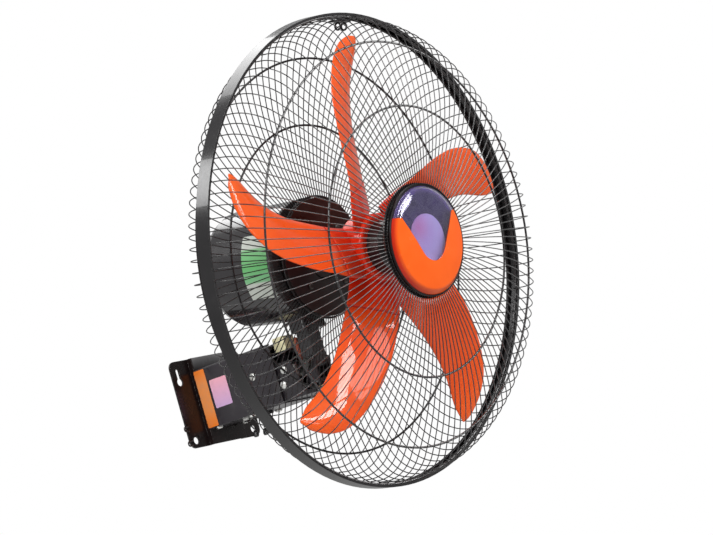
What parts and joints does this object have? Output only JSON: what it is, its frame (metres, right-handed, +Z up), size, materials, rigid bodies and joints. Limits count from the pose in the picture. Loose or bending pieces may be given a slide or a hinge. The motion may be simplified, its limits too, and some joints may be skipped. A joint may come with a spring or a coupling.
{
  "type": "wall mounted fan",
  "caption": "Round wire-guarded fan on a short swinging and tilting wall bracket, with a motor behind the guard and a domed badge in front.",
  "frame": {"origin": "on the wall plane, at the middle of the wall plate's outline", "axes": "+Z up along the wall, -Y away from the wall towards the side the fan faces, +X to the right seen along +Y"},
  "size_m": [0.555, 0.3983, 0.5513],
  "materials": {
    "bracket_paint": "gloss",
    "zinc": "satin",
    "strip_orange": "satin",
    "panel_pink": "satin",
    "cream_plastic": "satin",
    "black_rubber": "matte",
    "switch_plastic": "satin",
    "pull_cord": "matte",
    "knob_plastic": "gloss",
    "lead_sheath": "satin",
    "gear_motor_steel": "satin",
    "bronze": "satin",
    "motor_paint": "gloss",
    "core_steel": "satin",
    "copper": "satin",
    "motor_paper": "satin",
    "guard_black": "gloss",
    "fan_orange": "gloss",
    "spinner_black": "satin",
    "shaft_steel": "polished",
    "badge_black": "gloss",
    "badge_lilac": "satin",
    "badge_purple": "gloss",
    "badge_orange": "gloss"
  },
  "bodies": {
    "base": {"wall_plate": "bracket_paint", "arm_box": "bracket_paint", "bottom_cover": "bracket_paint", "box_screws": "zinc", "swing_cradle": "bracket_paint", "motor_bridge": "bracket_paint", "bridge_screws": "zinc", "swing_motor": "gear_motor_steel", "swing_motor_screws": "zinc", "neck_bush": "bronze", "terminal_block": "cream_plastic", "motor_leads": "lead_sheath", "speed_switch": "switch_plastic", "swing_switch": "switch_plastic", "switch_nuts": "zinc", "label_strip": "strip_orange", "label_panel": "panel_pink", "cable_gland": "black_rubber", "wire_eyes": "bracket_paint"},
    "fork": {"swing_fork": "bracket_paint", "neck_nut": "zinc", "tilt_bolt": "zinc", "tilt_washers": "zinc", "tilt_nut": "zinc", "link_clip": "zinc"},
    "link": {"swing_link": "zinc"},
    "crank": {"swing_crank": "zinc"},
    "head": {"neck_lug": "motor_paint", "motor_front_shell": "motor_paint", "motor_rear_shell": "motor_paint", "motor_screws": "zinc", "stator_core": "core_steel", "stator_windings": "copper", "stator_stays": "core_steel", "front_bearing": "bronze", "rear_bearing": "bronze", "lead_grommets": "black_rubber", "motor_label": "motor_paper", "guard_plate": "guard_black", "guard_screws": "zinc", "front_grille": "guard_black", "rear_grille": "guard_black", "rim_band": "guard_black", "top_clip": "guard_black", "badge_back": "badge_black", "badge_screws": "zinc", "badge_base": "badge_black", "badge_plate": "badge_lilac", "badge_lens": "badge_purple", "badge_cover": "badge_orange"},
    "rotor": {"motor_shaft": "shaft_steel", "rotor_core": "core_steel", "fan_blade": "fan_orange", "shaft_pin": "shaft_steel", "spinner": "spinner_black"},
    "speed_pull": {"speed_cord": "pull_cord", "speed_knob": "knob_plastic"},
    "swing_pull": {"swing_cord": "pull_cord", "swing_knob": "knob_plastic"}
  },
  "joints": [
    {"name": "head_swing", "type": "hinge", "parent": "base", "child": "fork", "pos_m": [0, -0.172, 0], "axis": [0, 0, 1], "range_deg": [-40, 40]},
    {"name": "link_turn", "type": "hinge", "parent": "fork", "child": "link", "pos_m": [0.018, -0.172, 0], "axis": [0, 0, 1], "range_deg": [-40, 40]},
    {"name": "crank_turn", "type": "hinge", "parent": "base", "child": "crank", "pos_m": [0, -0.134, 0], "axis": [0, 0, 1], "continuous": true},
    {"name": "head_tilt", "type": "hinge", "parent": "fork", "child": "head", "pos_m": [0, -0.172, 0.002], "axis": [1, 0, 0], "range_deg": [-8.7, 8]},
    {"name": "fan_spin", "type": "hinge", "parent": "head", "child": "rotor", "pos_m": [0, -0.299, 0.1045], "axis": [0, -0.9885, -0.1513], "continuous": true},
    {"name": "speed_pull", "type": "slide", "parent": "base", "child": "speed_pull", "axis": [0, 0, -1], "range_m": [0, 0.003], "stiffness_N_per_m": 1500},
    {"name": "swing_pull", "type": "slide", "parent": "base", "child": "swing_pull", "axis": [0, 0, -1], "range_m": [0, 0.003], "stiffness_N_per_m": 1500}
  ],
  "couplings": [
    {"joint": "link_turn", "follows": "head_swing", "ratio": -1}
  ]
}
